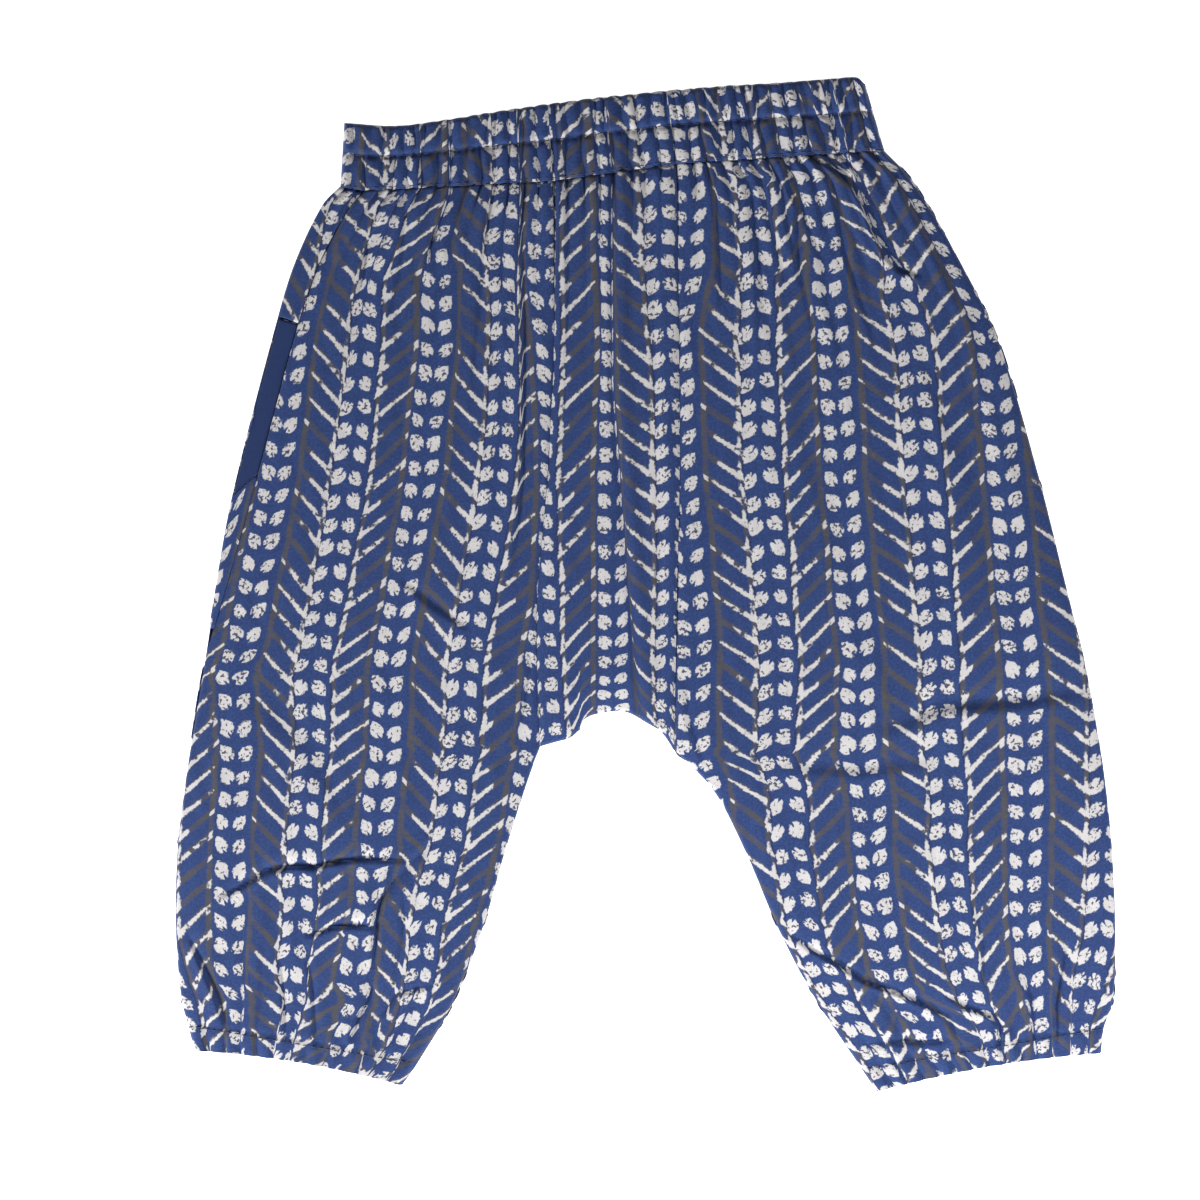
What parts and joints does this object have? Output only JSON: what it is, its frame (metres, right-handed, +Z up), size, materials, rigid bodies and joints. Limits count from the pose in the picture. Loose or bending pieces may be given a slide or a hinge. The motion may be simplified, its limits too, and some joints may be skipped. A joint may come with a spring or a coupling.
{
  "type": "baby harem pants",
  "caption": "Baby harem pants of printed cotton, laid flat: gathered elastic waistband, wide legs, long centre gusset, side pocket and gathered elastic hems.",
  "frame": {"origin": "under the middle of the garment's bounding box, on the surface that it lies on", "axes": "+X to the right of a viewer above the front, +Y from the hems to the waist, +Z up off the surface"},
  "size_m": [0.3535, 0.381, 0.0065],
  "materials": {
    "printed_cotton": "matte woven cotton, blue ground with cream leaf and grey and cream herringbone columns",
    "plain_cotton": "matte plain dark blue cotton"
  },
  "bodies": {
    "root": {"waistband_front": "printed_cotton", "waistband_back": "printed_cotton", "front_left_leg": "printed_cotton", "front_gusset": "printed_cotton", "front_right_leg": "printed_cotton", "back_left_leg": "printed_cotton", "back_gusset": "printed_cotton", "back_right_leg": "printed_cotton", "pocket_facing": "plain_cotton"}
  },
  "joints": []
}
